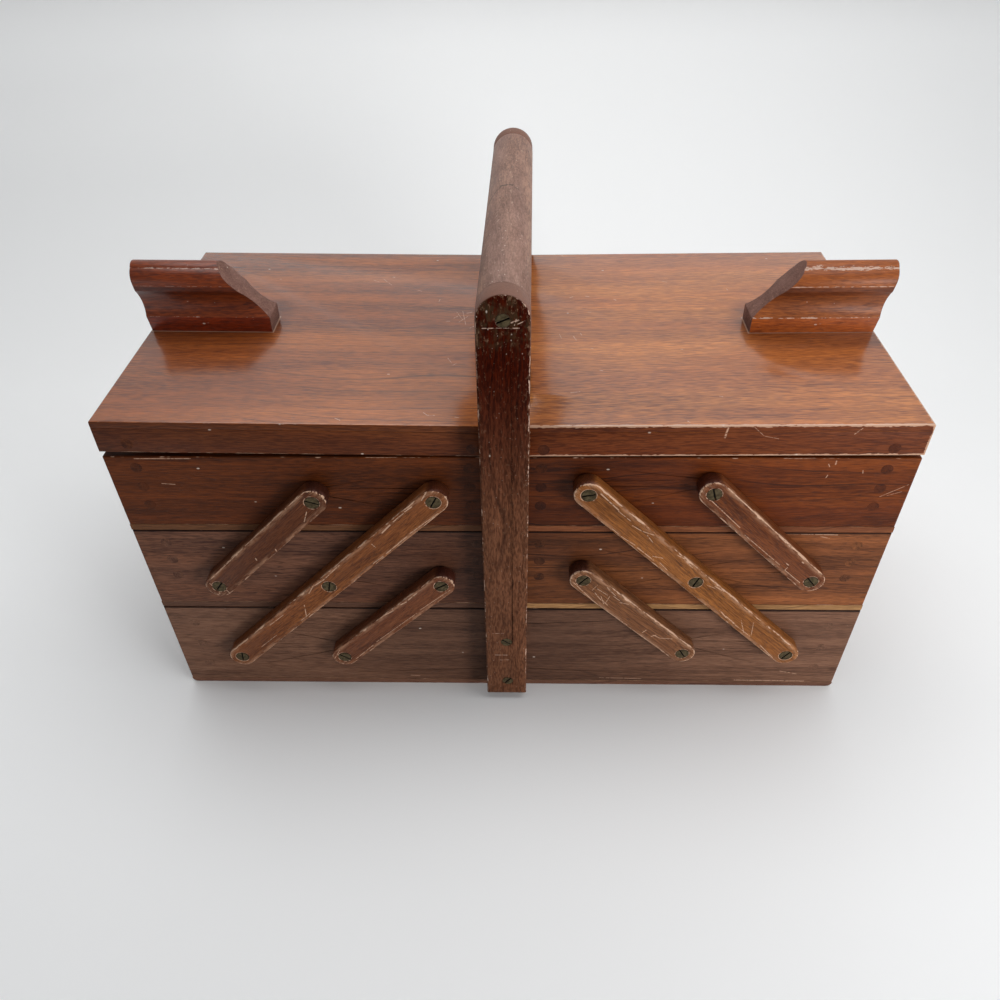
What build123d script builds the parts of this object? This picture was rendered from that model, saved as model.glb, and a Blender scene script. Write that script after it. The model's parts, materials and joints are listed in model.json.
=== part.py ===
from build123d import *
import os

# A sewing carrier: a base box, a left and a right middle tray, a left and a right top tray, two lids,
# a carrying handle, and six swinging arms on each long side that keep the trays level.
# Millimetres. X runs along the box, the front faces -Y, and the carrier stands on Z = 0.

# Box
length = 430.0
depth = 207.5
base_top = 74.7
mid_top = 139.0
rim_top = 191.8
tier_gap = 0.5              # hairline between closed tiers
board = 9.5                 # thickness of the front and rear boards
end_board = 12.5            # thickness of the end boards
end_inset = 10.0            # the end boards stand this far in from the ends of the long boards
housing = 3.0               # depth of the housings that hold the end boards
ply = 4.0                   # thickness of the plywood bottoms
foot_round = 3.5            # rounded lower corners of the base
eased = 0.5                 # eased outer edges
tray_inner = 3.5            # each tray's inner end, from the middle of the box
slide_gap = 0.4             # the trays' faces stand this far inside the base's, clear of the posts

# Lids
lid_height = 19.2
lid_panel = 4.2
lid_gap = 0.8               # gap over the rim at the hinge
lid_inner = 10.3            # the lid's inner end
rest_angle = {"left": 0.73, "right": 0.39}      # each lid sits a little proud at its outer end
rail_face = 9.7             # outer face of the hinge rail
rail_tongue = 20.0          # how far the rail reaches down inside the tray's inner end

# Lid hinges
hinge_width = 25.0
hinge_leaf = 12.0
leaf = 1.0
knuckle_radius = 1.9
knuckle_play = 0.2
pin_radius = 0.9
pin_play = 0.07
hinge_rise = 2.2            # the pin's height over the lid
hinge_places = (-60.0, 60.0)

# Pulls: a moulding with a foot, a hollow and a beaded head. Each leans out over its lid's end, and its
# inner end is sawn in a curve that sweeps from the top of the head down to the nose of the foot.
pull_foot = 9.4             # half the width of the foot, and its height
pull_height = 39.6
pull_throat = 6.8           # half the width at the narrowest place of the front hollow
pull_crease = 25.5          # height of the crease where the front hollow ends
pull_brow = 46.0            # the top of the inner cut, measured in from the lid's end
pull_length = 73.6
pull_start = 1.2            # the foot begins this far in from the lid's end
pull_slant = {"left": 0.13, "right": 0.17}      # outward lean of the outer end
pull_place = {"left": 0.5, "right": 0.0}        # Y of the foot's middle

# Handle
post_width = 25.4
post = 12.5
post_foot = 6.0
bar_radius = 12.7
post_tops = {"front": (-1.6, 278.1), "rear": (1.4, 279.8)}     # X and Z of the centre of each round top
post_screws = {"front": ((-0.9, 19.3, 52), (-1.4, 57.9, -38)), "rear": ((1.6, 19.0, 15), (1.2, 58.0, -70))}
post_eased = 0.8

# Arms
arm = 8.9
arm_gap = 0.4
arm_width = 16.0
arm_eased = 0.5
run = 65.5                  # from one pivot to the next, along X and along Z: the arms rest at 45 degrees

# Screws
shank = 1.9
shank_play = 0.06           # in an arm, which turns on the shank
seat_play = 0.02            # in the wood that the screw bites into
head_depth = 2.4
head_rim = 0.4
arm_head = 4.0
post_head = 3.4
slot_width = 0.8
slot_depth = 0.9
bite = 8.4                  # how far a pivot screw reaches in behind the base's face
bar_bite = 16.0
rear_turn = 40.0            # the rear screws' slots are turned this much further
bar_screw_turn = 23.0

half = length / 2
face = depth / 2
tray_face = face - slide_gap
hinge_x = (rail_face + lid_inner) / 2
lid_bottom = rim_top + lid_gap
lid_top = lid_bottom + lid_height
hinge_z = lid_top + hinge_rise
arm_front = arm_gap + arm
tiers = {"base": (0, base_top), "mid": (base_top + tier_gap, mid_top), "top": (mid_top + tier_gap, rim_top)}

# The long arm's foot on each side, as X and Z, and where the short arms' pivots lie from the long arm's.
# turns holds the slots of the front screws, in degrees from level.
sides = {
    "left": {"sign": -1, "foot": (-170.9, 37.8), "lower": (66.0, 0.6), "upper": (-65.3, -0.5),
             "turns": {"long": (86, 78, 63), "lower": (-36, 30), "upper": (55, -20)}},
    "right": {"sign": 1, "foot": (173.8, 43.0), "lower": (-64.9, 1.0), "upper": (65.8, 1.0),
              "turns": {"long": (56, 68, 11), "lower": (-60, 49), "upper": (-51, -73)}},
}


def block(x, y, z):
    """A box between two limits on each axis."""
    size = [abs(b - a) for a, b in (x, y, z)]
    middle = [(a + b) / 2 for a, b in (x, y, z)]
    return Pos(*middle) * Box(*size)


def keep(name, *solids):
    """Writes one node, which is one solid or a group of like solids."""
    shape = solids[0] if len(solids) == 1 else Compound(children=list(solids))
    export_step(shape, os.path.join("parts", name + ".step"))


def rear(shape):
    return shape.mirror(Plane.XZ)


def outward(which, x, z):
    """A frame on the base's front or rear face: its Z points out of the box and its Y points up."""
    way = -1 if which == "front" else 1
    return Plane(origin=(x, way * face, z), x_dir=(-way, 0, 0), z_dir=(0, way, 0))


def turned(points):
    """A solid of revolution about Z from its outline, as radius and height."""
    outline = make_face(Plane.XZ * Polyline(*points, close=True))
    return revolve(outline, Axis.Z)


def screw(top, head, reach, turn):
    """A countersunk slotted screw, with its head's top and its end's depth from the base's face."""
    solid = turned([(0, top), (head, top), (head, top - head_rim), (shank, top - head_depth),
                    (shank, -reach), (0, -reach)])
    slot = Pos(0, 0, top) * Box(3 * head, slot_width, 2 * slot_depth)
    return solid - Rot(0, 0, turn) * slot


def clearance(top, head):
    """The hole and countersink that a screw passes through, open at both ends."""
    wide = head + shank_play
    narrow = shank + shank_play
    return turned([(0, top + 1), (wide, top + 1), (wide, top - head_rim), (narrow, top - head_depth),
                   (narrow, -5), (0, -5)])


def pilot(reach):
    """The blind hole that a screw bites into."""
    return Pos(0, 0, (5 - reach - seat_play) / 2) * Cylinder(shank + seat_play, 5 + reach + seat_play)


# Pivots

def pivots(side):
    """Each arm's pivots from the foot up, as X and Z."""
    foot_x, foot_z = side["foot"]
    step = -side["sign"] * run
    long_arm = [(foot_x + i * step, foot_z + i * run) for i in range(3)]
    lower = [(x + side["lower"][0], z + side["lower"][1]) for x, z in long_arm[:2]]
    upper = [(x + side["upper"][0], z + side["upper"][1]) for x, z in long_arm[1:]]
    return {"long": long_arm, "lower": lower, "upper": upper}


def tier_pivots(side, tier):
    """The pivots on one tier, as X, Z and the turn of the screw's slot."""
    level = {"base": 0, "mid": 1, "top": 2}[tier]
    found = []
    for name, first in (("long", 0), ("lower", 0), ("upper", 1)):
        places = pivots(side)[name]
        i = level - first
        if 0 <= i < len(places):
            found.append((*places[i], side["turns"][name][i]))
    return found


# Boxes

def long_board(x, out, z, ends, bites):
    """A front board with housings for the end boards at ends and pilot holes for screws at bites."""
    solid = block(x, (-out, board - out), z)
    front_edges = solid.faces().sort_by(Axis.Y)[0].edges()
    solid = chamfer(front_edges - front_edges.sort_by(Axis.Z)[:1], eased)
    for middle in ends:
        span = (middle - end_board / 2, middle + end_board / 2)
        solid -= block(span, (board - housing - out, board - out + 1), (z[0] - 1, z[1] + 1))
    for px, pz, turn in bites:
        solid -= outward("front", px, pz) * pilot(bite)
    return solid


def box_pieces(name, x, out, tier, front_bites, rear_bites):
    """Writes the boards and the bottom of one box between two limits along X."""
    low, high = tiers[tier]
    z = (low + ply, high)
    to_end = end_inset + end_board / 2
    ends = (x[0] + to_end, x[1] - to_end)
    keep(name + "_front_board", long_board(x, out, z, ends, front_bites))
    keep(name + "_rear_board", rear(long_board(x, out, z, ends, rear_bites)))
    reach = out - board + housing
    for end, middle in zip(("left_end", "right_end"), ends):
        span = (middle - end_board / 2, middle + end_board / 2)
        keep(name + "_" + end, block(span, (-reach, reach), z))
    bottom = block(x, (-out, out), (low, low + ply))
    if tier == "base":
        corners = bottom.edges().filter_by(Axis.Y).group_by(Axis.Z)[0]
        bottom = fillet(corners, foot_round)
    keep(name + "_bottom", bottom)


def pivot_screws(side, tier):
    made = []
    for x, z, turn in tier_pivots(side, tier):
        for which, extra in (("front", 0.0), ("rear", rear_turn)):
            made.append(outward(which, x, z) * screw(arm_front, arm_head, bite, turn + extra))
    return made


# Arms

def arm_solid(count):
    """An arm laid along X from its foot pivot, with a countersunk hole at each of its pivots."""
    pitch = run * 2 ** 0.5
    reach = pitch * (count - 1)
    outline = Pos(reach / 2, 0, arm_gap) * SlotCenterToCenter(reach, arm_width)
    solid = extrude(outline, arm)
    rims = solid.faces().filter_by(Axis.Z)
    solid = chamfer(rims.sort_by(Axis.Z)[-1].edges(), arm_eased)
    for i in range(count):
        solid -= Pos(i * pitch, 0, 0) * clearance(arm_front, arm_head)
    return solid


def arm_pieces(name, side):
    for kind, places in pivots(side).items():
        solid = arm_solid(len(places))
        (x0, z0), (x1, z1) = places[:2]
        for which, way in (("front", -1), ("rear", 1)):
            frame = Plane(origin=(x0, way * face, z0), x_dir=(x1 - x0, 0, z1 - z0), z_dir=(0, way, 0))
            keep(f"{name}_{kind}_arm_{which}", frame * solid)


# Handle

def handle_post(which):
    """A flat post with a round top, screwed to the base and into the end of the bar."""
    x, z = post_tops[which]
    outline = Pos(0, (post_foot - z) / 2) * Rectangle(post_width, z - post_foot) + Circle(post_width / 2)
    solid = extrude(outline, post)
    solid = chamfer(solid.faces().sort_by(Axis.Z)[-1].edges(), post_eased)
    solid = outward(which, x, z) * solid
    for sx, sz, turn in post_screws[which] + ((x, z, 0),):
        solid -= outward(which, sx, sz) * clearance(post, post_head)
    return solid


def handle_bar():
    """The round bar between the posts, faced off flat at both."""
    (x0, z0), (x1, z1) = post_tops["front"], post_tops["rear"]
    line = Vector(x1 - x0, depth, z1 - z0)
    over = line.normalized() * 5
    start = Vector(x0, -face, z0) - over
    solid = extrude(Plane(origin=start, z_dir=line) * Circle(bar_radius), line.length + 10)
    solid &= block((-half, half), (-face, face), (0, 2 * z0))
    for which in post_tops:
        solid -= outward(which, *post_tops[which]) * pilot(bar_bite)
    return solid


def handle_screws():
    made = []
    for which in post_tops:
        for x, z, turn in post_screws[which]:
            made.append(outward(which, x, z) * screw(post, post_head, bite, turn))
        made.append(outward(which, *post_tops[which]) * screw(post, post_head, bar_bite, bar_screw_turn))
    return made


# Lids, made on the right at the level of the rim, and mirrored for the left

def hinge_mortises(inner, outer):
    """The cuts that the hinge leaves lie in, between two limits along X."""
    x, z = (inner, outer), (lid_top - hinge_leaf, lid_top + 1)
    cuts = [block(x, (y - hinge_width / 2, y + hinge_width / 2), z) for y in hinge_places]
    return Compound(children=cuts)


def barrel(y, radius, long):
    """A cylinder along the hinge's axis about its middle."""
    return Pos(hinge_x, y, hinge_z) * Rot(90, 0, 0) * Cylinder(radius, long)


def hinge_half(y, moving):
    """One leaf with its knuckles: two and the pin on the fixed half, the middle one on the moving half."""
    third = hinge_width / 3
    ends = [y - hinge_width / 2 + i * third for i in range(4)]
    spans = [(ends[1], ends[2])] if moving else [(ends[0], ends[1]), (ends[2], ends[3])]
    x = (lid_inner, lid_inner + leaf) if moving else (rail_face - leaf, rail_face)
    solid = block(x, (ends[0], ends[3]), (lid_top - hinge_leaf, lid_top))
    for low, high in spans:
        low += knuckle_play
        high -= knuckle_play
        solid += block(x, (low, high), (lid_top - 1, hinge_z))
        solid += barrel((low + high) / 2, knuckle_radius, high - low)
    if moving:
        return solid - barrel(y, pin_radius + pin_play, hinge_width)
    return solid + barrel(y, pin_radius, hinge_width + 2)


def hinge_rail():
    """The fixed rail that a lid hangs on, with a tongue down the face of the tray's inner end board."""
    inside = tray_face - board
    solid = block((tray_inner, rail_face), (-tray_face, tray_face), (rim_top, lid_top))
    solid += block((tray_inner, tray_inner + end_inset), (-inside, inside), (rim_top - rail_tongue, rim_top))
    return solid - hinge_mortises(rail_face - leaf, rail_face + 1)


def pull_section():
    """The moulding's section with its front towards X: foot, hollow, crease, bead, worn arris and crown."""
    heel, toe = (-pull_foot, pull_foot), (pull_foot, pull_foot)
    crease, shoulder = (pull_foot, pull_crease), (pull_foot, 30.0)
    arris, back_top = (4.2, 37.3), (-6.5, 36.4)
    back_face, back_crease = (-7.9, 31.5), (-7.6, pull_crease)
    foot = Polyline(heel, (-pull_foot, 0), (pull_foot, 0), toe)
    hollow = ThreePointArc(toe, (pull_throat, 17.5), crease)
    bead = ThreePointArc(shoulder, (7.9, 34.3), arris)
    crown = ThreePointArc(arris, (-1.5, pull_height), back_top)
    back = Polyline(back_top, back_face, back_crease)
    back_hollow = ThreePointArc(back_crease, (-5.3, 18.0), heel)
    return make_face([foot, hollow, Line(crease, shoulder), bead, crown, back, back_hollow])


def pull_side(slant):
    """The pull seen from the front, with the lid's end at zero and the foot's nose at the inner end."""
    top = pull_height + 0.4
    brow, knee, nose = (-pull_brow, top), (-58.3, pull_crease), (-pull_length, pull_foot)
    lead = (slant * top - pull_start, top)
    base = Polyline(brow, lead, (-pull_start, 0), (-pull_length, 0), nose)
    return make_face([base, Line(nose, knee), ThreePointArc(knee, (-51.8, 32.2), brow)])


def pull(y, slant):
    overhang = slant * pull_height
    end = Plane(origin=(half + overhang, y, lid_top), x_dir=(0, -1, 0), z_dir=(-1, 0, 0))
    solid = extrude(end * pull_section(), pull_length + overhang)
    outline = Plane(origin=(half, y, lid_top), x_dir=(1, 0, 0), z_dir=(0, -1, 0)) * pull_side(slant)
    return solid & extrude(outline, pull_foot + 5, both=True)


def lid_pieces(name, side):
    inside = tray_face - board
    under = lid_top - lid_panel
    panel = block((lid_inner, half), (-tray_face, tray_face), (under, lid_top))
    panel = chamfer(panel.faces().sort_by(Axis.Z)[-1].edges() - panel.edges().group_by(Axis.X)[0], eased)
    panel -= hinge_mortises(lid_inner - 1, lid_inner + leaf)
    front = block((lid_inner, half), (-tray_face, -inside), (lid_bottom, under))
    inner = block((lid_inner, lid_inner + end_board), (-inside, inside), (lid_bottom, under))
    inner -= hinge_mortises(lid_inner - 1, lid_inner + leaf)
    outer = block((half - end_inset - end_board, half - end_inset), (-inside, inside), (lid_bottom, under))
    pieces = {
        "panel": [panel], "long_rails": [front, rear(front)], "end_rails": [inner, outer],
        "pull": [pull(pull_place[name], pull_slant[name])],
        "hinge_leaves": [hinge_half(y, True) for y in hinge_places],
    }
    hinge = Axis((hinge_x, 0, hinge_z), (0, -1, 0))
    for piece, solids in pieces.items():
        placed = [to_side(solid.rotate(hinge, rest_angle[name]), side) for solid in solids]
        keep(f"{name}_lid_{piece}", *placed)


def to_side(shape, side):
    return shape if side["sign"] > 0 else shape.mirror(Plane.YZ)


os.makedirs("parts", exist_ok=True)

base_bites = []
for name, side in sides.items():
    base_bites += tier_pivots(side, "base")
front_bites = base_bites + list(post_screws["front"])
rear_bites = base_bites + list(post_screws["rear"])
box_pieces("base", (-half, half), face, "base", front_bites, rear_bites)
keep("front_post", handle_post("front"))
keep("rear_post", handle_post("rear"))
keep("handle_bar", handle_bar())
base_screws = handle_screws()

for name, side in sides.items():
    ends = (tray_inner, half) if side["sign"] > 0 else (-half, -tray_inner)
    for tier in ("mid", "top"):
        bites = tier_pivots(side, tier)
        box_pieces(f"{name}_{tier}", ends, tray_face, tier, bites, bites)
        keep(f"{name}_{tier}_screws", *pivot_screws(side, tier))
    base_screws += pivot_screws(side, "base")
    arm_pieces(name, side)
    keep(f"{name}_hinge_rail", to_side(hinge_rail(), side))
    keep(f"{name}_fixed_leaves", *[to_side(hinge_half(y, False), side) for y in hinge_places])
    lid_pieces(name, side)

keep("base_screws", *base_screws)
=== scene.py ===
import json
import math

import bpy
from mathutils import Euler, Matrix, Vector


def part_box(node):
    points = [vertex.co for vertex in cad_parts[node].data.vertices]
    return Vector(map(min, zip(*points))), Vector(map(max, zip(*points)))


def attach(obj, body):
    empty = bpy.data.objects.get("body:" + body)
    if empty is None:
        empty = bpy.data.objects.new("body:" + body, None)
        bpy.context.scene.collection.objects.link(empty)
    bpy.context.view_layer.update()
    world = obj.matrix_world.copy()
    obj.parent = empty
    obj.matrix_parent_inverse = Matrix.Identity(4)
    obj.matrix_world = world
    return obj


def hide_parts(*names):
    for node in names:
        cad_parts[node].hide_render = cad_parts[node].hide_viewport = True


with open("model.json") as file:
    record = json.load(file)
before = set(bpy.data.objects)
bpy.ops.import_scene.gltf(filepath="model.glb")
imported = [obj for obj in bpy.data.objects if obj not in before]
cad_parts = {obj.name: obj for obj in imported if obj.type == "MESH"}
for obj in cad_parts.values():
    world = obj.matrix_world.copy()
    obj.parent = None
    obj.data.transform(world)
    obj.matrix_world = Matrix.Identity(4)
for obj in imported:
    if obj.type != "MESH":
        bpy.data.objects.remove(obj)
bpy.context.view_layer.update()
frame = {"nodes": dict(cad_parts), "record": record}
bodies = frame["record"]["behaviour"]["bodies"]
bodyOf = {node: body for body, nodes in bodies.items() for node in nodes}
millimetres = 1000.0        # in a metre; patterns are in millimetres, and meshes in metres


def adjust(thing, settings):
    for key, value in settings.items():
        setattr(thing, key, value)


class Wire:
    # one socket of a material; the operators add its Math nodes
    def __init__(self, finish, socket):
        self.finish = finish
        self.socket = socket

    def __add__(self, other): return self.finish.maths("ADD", self, other)
    def __radd__(self, other): return self.finish.maths("ADD", other, self)
    def __sub__(self, other): return self.finish.maths("SUBTRACT", self, other)
    def __rsub__(self, other): return self.finish.maths("SUBTRACT", other, self)
    def __mul__(self, other): return self.finish.maths("MULTIPLY", self, other)
    def __rmul__(self, other): return self.finish.maths("MULTIPLY", other, self)
    def __truediv__(self, other): return self.finish.maths("DIVIDE", self, other)
    def __abs__(self): return self.finish.maths("ABSOLUTE", self)
    def least(self, other): return self.finish.maths("MINIMUM", self, other)
    def most(self, other): return self.finish.maths("MAXIMUM", self, other)


class Finish:
    # one material
    def __init__(self, name):
        self.material = bpy.data.materials.new(name)
        self.material.use_nodes = True
        self.tree = self.material.node_tree
        self.tree.nodes.clear()

    def node(self, kind, settings=None, sockets=None, output=0):
        made = self.tree.nodes.new(kind)
        adjust(made, settings or {})
        for key, value in (sockets or {}).items():
            socket = next(s for i, s in enumerate(made.inputs) if key in (i, s.identifier, s.name))
            if isinstance(value, Wire):
                self.tree.links.new(value.socket, socket)
            else:
                socket.default_value = value
        if output == "all":
            return [Wire(self, s) for s in made.outputs]
        found = [s for i, s in enumerate(made.outputs) if output in (i, s.identifier, s.name)]
        return Wire(self, found[0]) if found else made

    def maths(self, operation, *values):
        return self.node("ShaderNodeMath", {"operation": operation}, dict(enumerate(values)))

    def vectors(self, operation, *values):
        return self.node("ShaderNodeVectorMath", {"operation": operation}, dict(enumerate(values)))

    def length(self, *parts):
        return self.node("ShaderNodeVectorMath", {"operation": "LENGTH"}, {0: self.join(*parts)}, "Value")

    def split(self, vector):
        return self.node("ShaderNodeSeparateXYZ", None, {0: vector}, "all")

    def join(self, x, y, z=0.0):
        return self.node("ShaderNodeCombineXYZ", None, {0: x, 1: y, 2: z})

    def blend(self, share, low, high, way="MIX"):
        low, high = [c if isinstance(c, Wire) else (*c, 1) for c in (low, high)]
        return self.node("ShaderNodeMix", {"data_type": "RGBA", "blend_type": way},
                         {"Factor_Float": share, "A_Color": low, "B_Color": high}, "Result_Color")

    def step(self, value, low, high):
        # 0 before low and 1 past high, either way round
        return self.node("ShaderNodeMapRange", {"interpolation_type": "SMOOTHSTEP"},
                         {"Value": value, "From Min": low, "From Max": high})

    def noise(self, at, size, detail=2.0, rough=0.5):
        # features are about as large as size, in the units of at
        return self.node("ShaderNodeTexNoise", None,
                         {"Vector": self.vectors("DIVIDE", at, size), "Scale": 1.0, "Detail": detail,
                          "Roughness": rough})

    def patches(self, at, size, detail=1.0, rough=0.5, between=(0.38, 0.62)):
        # noise pushed towards 0 and 1
        return self.step(self.noise(at, size, detail, rough), *between)

    def local(self, turn=(0, 0, 0), middle=(0, 0, 0)):
        # the object's own coordinates from middle, in millimetres, turned so that x runs along the grain
        place = -(Euler(turn).to_matrix() @ Vector(middle)) * millimetres
        return self.node("ShaderNodeMapping", None,
                         {"Vector": self.node("ShaderNodeTexCoord", None, None, "Object"),
                          "Location": place, "Rotation": turn, "Scale": [millimetres] * 3})

    def facing(self):
        # how far the surface faces along the object's own x, y and z
        return self.split(self.node("ShaderNodeTexCoord", None, None, "Normal"))

    def bump(self, height, depth):
        return self.node("ShaderNodeBump", None, {"Height": height, "Strength": 1.0, "Distance": depth})

    def close(self, sockets):
        shader = self.node("ShaderNodeBsdfPrincipled", None, sockets)
        self.node("ShaderNodeOutputMaterial", None, {"Surface": shader})
        return self.material


# Wood, in millimetres, with the depth of its bump in metres; each piece changes a few of these
wood = {
    "dark": (0.060, 0.018, 0.009), "light": (0.180, 0.060, 0.026), "glow": (0.230, 0.078, 0.032),
    "vein": (0.022, 0.008, 0.005), "shift": (0.0, 0.0, 0.0),
    "sway": 14.0, "swaySize": (190.0, 60.0, 60.0),
    "bandSize": (240.0, 10.0, 10.0), "lineSize": (90.0, 1.7, 1.7), "fleckSize": (8.0, 0.6, 0.6),
    "shares": (0.40, 0.22, 0.38),
    "fadeSize": (140.0, 24.0, 24.0), "warmSize": (160.0, 22.0, 22.0),
    "veins": 0.5, "veinSize": (170.0, 50.0, 50.0), "veinSway": 50.0, "veinGap": 11.0, "veinWidth": 0.11,
    "pores": 0.45, "poreSize": (6.0, 0.45, 0.45),
    "bare": (0.60, 0.36, 0.24), "bareShare": 0.8, "bareSize": (14.0, 3.0, 3.0), "reach": 1.1,
    "edgeShare": 0.30, "bareFrom": 0.78, "bareSoft": 0.05, "bareRough": 0.2,
    "dust": 0.5, "dustColour": (0.66, 0.55, 0.46), "dustShare": 0.8,
    "dustCell": (24.0, 13.0, 13.0), "dustRadius": 0.045,
    "rough": 0.42, "haze": 0.12, "hazeSize": (45.0, 26.0, 26.0), "specular": 0.12, "depth": 0.00007,
}


def look(*changes, **more):
    mixed = dict(wood)
    for change in (*changes, more):
        mixed.update(change)
    return mixed


def woodColour(finish, local, figure):
    # bare wood: wandering bands, fine lines, short flecks, thin dark yearly lines and open pores
    at = finish.vectors("ADD", local, figure["shift"])
    u, v, w = finish.split(at)
    sway = (finish.noise(at, figure["swaySize"], 1.0) - 0.5) * figure["sway"]
    bent = finish.join(u, v + sway, w + sway * 0.7)
    bands = finish.patches(bent, figure["bandSize"], 2.0, 0.6, (0.30, 0.70))
    lines = finish.patches(bent, figure["lineSize"], 3.0, 0.65)
    flecks = finish.patches(bent, figure["fleckSize"])
    bandShare, lineShare, fleckShare = figure["shares"]
    fade = finish.patches(at, figure["fadeSize"])
    share = bands * bandShare
    share = share + ((lines - 0.5) * (fade * 0.9 + 0.5) + 0.5) * lineShare + flecks * fleckShare
    warmth = finish.patches(at, figure["warmSize"])
    colour = finish.blend(share, figure["dark"], finish.blend(warmth, figure["light"], figure["glow"]))
    wander = (finish.noise(at, figure["veinSize"], 1.0) - 0.5) * figure["veinSway"]
    year = finish.maths("FRACT", (v + w + wander + sway) / figure["veinGap"])
    width = figure["veinWidth"]
    late = finish.step(year, 1 - width, 1 - width * 0.4) * finish.step(year, 1.0, 1 - width * 0.2)
    colour = finish.blend(late * fade * figure["veins"], colour, figure["vein"])
    pore = finish.patches(bent, figure["poreSize"], between=(0.60, 0.70))
    colour = finish.blend(pore * figure["pores"], colour, figure["vein"])
    return colour, lines * 0.4 - pore


def edgeOfBox(finish, local, half):
    # how far a point on a box's face lies from the nearest edge
    x, y, z = [size - abs(part) for size, part in zip(half, finish.split(local))]
    return x.least(y).most(x.most(y).least(z))


def flaked(finish, local, edge, figure):
    # where the varnish has gone: a broken line along the edges, and ticks further in
    size = figure["bareSize"]
    ragged = finish.noise(local, size, 3.0, 0.7)
    thin = finish.noise(local, (size[0] * 0.3, size[1] * 0.4, size[2] * 0.4), 2.0)
    near = finish.step(edge, figure["reach"], 0.0)
    level = ragged * 0.7 + thin * 0.3 + near * figure["edgeShare"]
    return finish.step(level, figure["bareFrom"], figure["bareFrom"] + figure["bareSoft"])


def specks(finish, local, cell, radius, share):
    # a round speck in a share of the cells, its radius a share of the cell
    distance, tint = finish.node("ShaderNodeTexVoronoi", None,
                                 {"Vector": finish.vectors("DIVIDE", local, cell), "Scale": 1.0}, "all")[:2]
    chosen = finish.maths("GREATER_THAN", finish.split(tint)[0], 1 - share)
    return chosen * finish.step(distance, radius, 0.4 * radius)


def scratched(finish, a, b, lines):
    # thin broken scratches in the plane of a and b, each as its two ends and half its width
    at = finish.join(a, b)
    found = 0.0
    for ax, ay, bx, by, width in lines:
        way = (bx - ax, by - ay, 0.0)
        start = finish.vectors("SUBTRACT", at, (ax, ay, 0.0))
        along = finish.node("ShaderNodeVectorMath", {"operation": "DOT_PRODUCT"},
                            {0: start, 1: way}, "Value")
        share = finish.node("ShaderNodeMath", {"operation": "DIVIDE", "use_clamp": True},
                            {0: along, 1: way[0] ** 2 + way[1] ** 2})
        nearest = finish.node("ShaderNodeVectorMath", {"operation": "SCALE"}, {0: way, "Scale": share})
        gap = finish.node("ShaderNodeVectorMath", {"operation": "DISTANCE"},
                          {0: start, 1: nearest}, "Value")
        found = finish.step(gap, width, width * 0.3).most(found)
    return found * finish.patches(at, (1.6, 1.6, 1.6), 2.0, between=(0.32, 0.50))


def woodFinish(finish, local, figure, bare, sockets=None, tints=()):
    # wood under its varnish, tinted here and there, and worn to bare wood where bare is 1
    colour, height = woodColour(finish, local, figure)
    for share, tint, way in tints:
        colour = finish.blend(share, colour, tint, way)
    colour = finish.blend(bare * figure["bareShare"], colour, figure["bare"])
    dust = specks(finish, local, figure["dustCell"], figure["dustRadius"], figure["dust"])
    colour = finish.blend(dust * figure["dustShare"], colour, figure["dustColour"])
    haze = finish.patches(local, figure["hazeSize"], 2.0, between=(0.2, 0.8))
    return finish.close({"Base Color": colour,
                         "Roughness": haze * figure["haze"] + figure["rough"] + bare * figure["bareRough"],
                         "Normal": finish.bump(height - bare, figure["depth"]),
                         "Specular IOR Level": figure["specular"], **(sockets or {})})


# Merged copies of CAD nodes, with rounded edges, which then stand for the nodes
joins = {"gap": 0.000002, "flat": 0.4}      # nearer corners, and faces flatter than this angle, become one


def camel(node):
    first, *rest = node.split("_")
    return first + "".join(word.title() for word in rest)


def startOf(node, count):
    return "_".join(node.split("_")[:count])


def deselect():
    if bpy.context.object and bpy.context.object.mode != "OBJECT":
        bpy.ops.object.mode_set(mode="OBJECT")
    bpy.ops.object.select_all(action="DESELECT")


def choose(piece):
    deselect()
    piece.select_set(True)
    bpy.context.view_layer.objects.active = piece


def addModifier(piece, kind, **settings):
    modifier = piece.modifiers.new(kind.title(), kind)
    adjust(modifier, settings)
    return modifier


def mergedCopy(node, rounding, angle=30, segments=2, smooth=40):
    source = frame["nodes"][node]
    piece = bpy.data.objects.new(camel(node), source.data.copy())
    bpy.context.scene.collection.objects.link(piece)
    choose(piece)
    bpy.ops.object.mode_set(mode="EDIT")
    bpy.ops.mesh.select_all(action="SELECT")
    bpy.ops.mesh.remove_doubles(threshold=joins["gap"])
    bpy.ops.mesh.customdata_custom_splitnormals_clear()
    bpy.ops.mesh.dissolve_limited(angle_limit=math.radians(joins["flat"]))
    bpy.ops.object.mode_set(mode="OBJECT")
    bevel = addModifier(piece, "BEVEL", width=rounding, segments=segments, limit_method="ANGLE",
                        angle_limit=math.radians(angle), use_clamp_overlap=False)
    bpy.ops.object.modifier_apply(modifier=bevel.name)
    bpy.ops.object.shade_smooth_by_angle(angle=math.radians(smooth))
    return piece


def seat(piece, node, slot, *materials):
    # a finished piece rides with the node it stands for
    piece.data.materials.clear()
    for material in materials:
        piece.data.materials.append(material)
    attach(piece, bodyOf[node])
    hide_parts(node)


def paint(node, material):
    # a CAD node keeps its mesh and gets a material
    mesh = frame["nodes"][node].data
    mesh.materials.clear()
    mesh.materials.append(material)


def middleOf(node):
    # a node's middle in metres and half its size in millimetres
    low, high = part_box(node)
    return (low + high) / 2, (high - low) / 2 * millimetres


def seedOf(node):
    # each name cuts its piece from another place in the wood
    return sum(ord(letter) for letter in node)


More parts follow.
